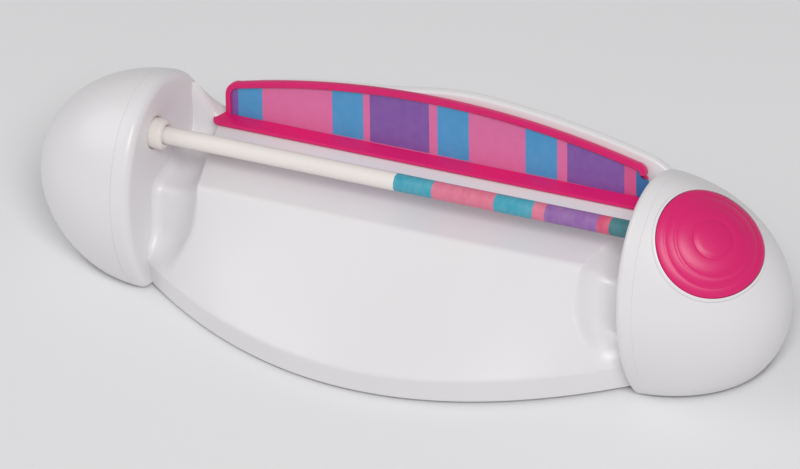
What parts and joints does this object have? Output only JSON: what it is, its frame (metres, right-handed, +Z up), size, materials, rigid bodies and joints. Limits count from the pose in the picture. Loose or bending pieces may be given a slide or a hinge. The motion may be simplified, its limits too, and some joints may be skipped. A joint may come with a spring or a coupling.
{
  "type": "toy bracelet maker",
  "caption": "Battery toy that spins a bracelet blank between its end pods while a pen colours it, with a press button and an arched pattern card frame.",
  "frame": {"origin": "centre of the toy's footprint, on the surface that it stands on", "axes": "+X along the bracelet blank towards the pod with the button, +Y to the back, +Z up"},
  "size_m": [0.26, 0.102, 0.0649],
  "materials": {
    "white_plastic": "satin",
    "magenta_plastic": "gloss",
    "printed_card": "satin printed card",
    "soft_white_plastic": "matte",
    "natural_nylon": "matte",
    "steel": "satin",
    "brass": "satin",
    "grey_rubber": "matte",
    "black_plastic": "matte",
    "cell_sleeve": "satin",
    "red_lead": "matte",
    "black_lead": "matte"
  },
  "bodies": {
    "base": {"housing": "white_plastic", "base_plate": "white_plastic", "left_dome": "white_plastic", "right_dome": "white_plastic", "button_ring": "white_plastic", "drive_bush": "natural_nylon", "gearbox_plate": "natural_nylon", "tail_bush": "natural_nylon", "tail_bracket": "natural_nylon", "second_axle": "steel", "first_axle": "steel", "motor_can": "steel", "tail_spring": "steel", "button_spring": "steel", "cell_spring_1": "steel", "cell_spring_2": "steel", "housing_screw_1": "steel", "housing_screw_2": "steel", "housing_screw_3": "steel", "housing_screw_4": "steel", "left_dome_screw": "steel", "right_dome_screw": "steel", "contact_link": "brass", "contact_positive": "brass", "contact_negative": "brass", "switch_contact_1": "brass", "switch_contact_2": "brass", "rubber_foot_1": "grey_rubber", "rubber_foot_2": "grey_rubber", "rubber_foot_3": "grey_rubber", "rubber_foot_4": "grey_rubber", "motor_end_cap": "black_plastic", "battery_cell_1": "cell_sleeve", "battery_cell_2": "cell_sleeve", "lead_battery_to_switch": "red_lead", "lead_switch_to_motor": "red_lead", "lead_battery_to_motor": "black_lead"},
    "drive": {"drive_chuck": "natural_nylon", "output_gear": "natural_nylon", "bracelet_blank": "soft_white_plastic"},
    "second_gear": {"second_gear": "natural_nylon"},
    "first_gear": {"first_gear": "natural_nylon"},
    "motor_rotor": {"motor_pinion": "brass", "motor_shaft": "steel"},
    "tail_slider": {"tail_washer": "natural_nylon"},
    "tail": {"tail_chuck": "soft_white_plastic"},
    "button": {"button_cap": "magenta_plastic", "switch_bridge": "brass"},
    "card_holder": {"card_frame": "magenta_plastic", "pattern_card": "printed_card"},
    "cover": {"battery_cover": "white_plastic", "cover_screw": "steel"}
  },
  "joints": [
    {"name": "drive_spin", "type": "hinge", "parent": "base", "child": "drive", "pos_m": [0, -0.005, 0.05], "axis": [1, 0, 0], "continuous": true},
    {"name": "second_gear_spin", "type": "hinge", "parent": "base", "child": "second_gear", "pos_m": [0, -0.00254, 0.04082], "axis": [1, 0, 0], "continuous": true},
    {"name": "first_gear_spin", "type": "hinge", "parent": "base", "child": "first_gear", "pos_m": [0, -0.00704, 0.03303], "axis": [1, 0, 0], "continuous": true},
    {"name": "motor_spin", "type": "hinge", "parent": "base", "child": "motor_rotor", "pos_m": [0, -0.00015, 0.02724], "axis": [1, 0, 0], "continuous": true},
    {"name": "tail_slide", "type": "slide", "parent": "base", "child": "tail_slider", "axis": [-1, 0, 0], "range_m": [0, 0.005], "stiffness_N_per_m": 300, "springref_m": -0.004, "deforming": ["tail_spring"]},
    {"name": "tail_spin", "type": "hinge", "parent": "tail_slider", "child": "tail", "pos_m": [0, -0.005, 0.05], "axis": [1, 0, 0], "continuous": true},
    {"name": "button_press", "type": "slide", "parent": "base", "child": "button", "axis": [-0.5332, 0.3078, -0.788], "range_m": [0, 0.0025], "stiffness_N_per_m": 400, "springref_m": -0.002, "deforming": ["button_spring"]},
    {"name": "frame_lift", "type": "slide", "parent": "base", "child": "card_holder", "axis": [0, 0.2419, 0.9703], "range_m": [0, 0.022]},
    {"name": "cover_hinge", "type": "hinge", "parent": "base", "child": "cover", "pos_m": [-0.02895, 0, 0.0015], "axis": [0, 1, 0], "range_deg": [0, 100]}
  ],
  "couplings": [
    {"joint": "second_gear_spin", "follows": "drive_spin", "ratio": -2.8},
    {"joint": "first_gear_spin", "follows": "drive_spin", "ratio": 9.8},
    {"joint": "motor_spin", "follows": "drive_spin", "ratio": -34.3},
    {"joint": "tail_spin", "follows": "drive_spin", "ratio": 1}
  ]
}
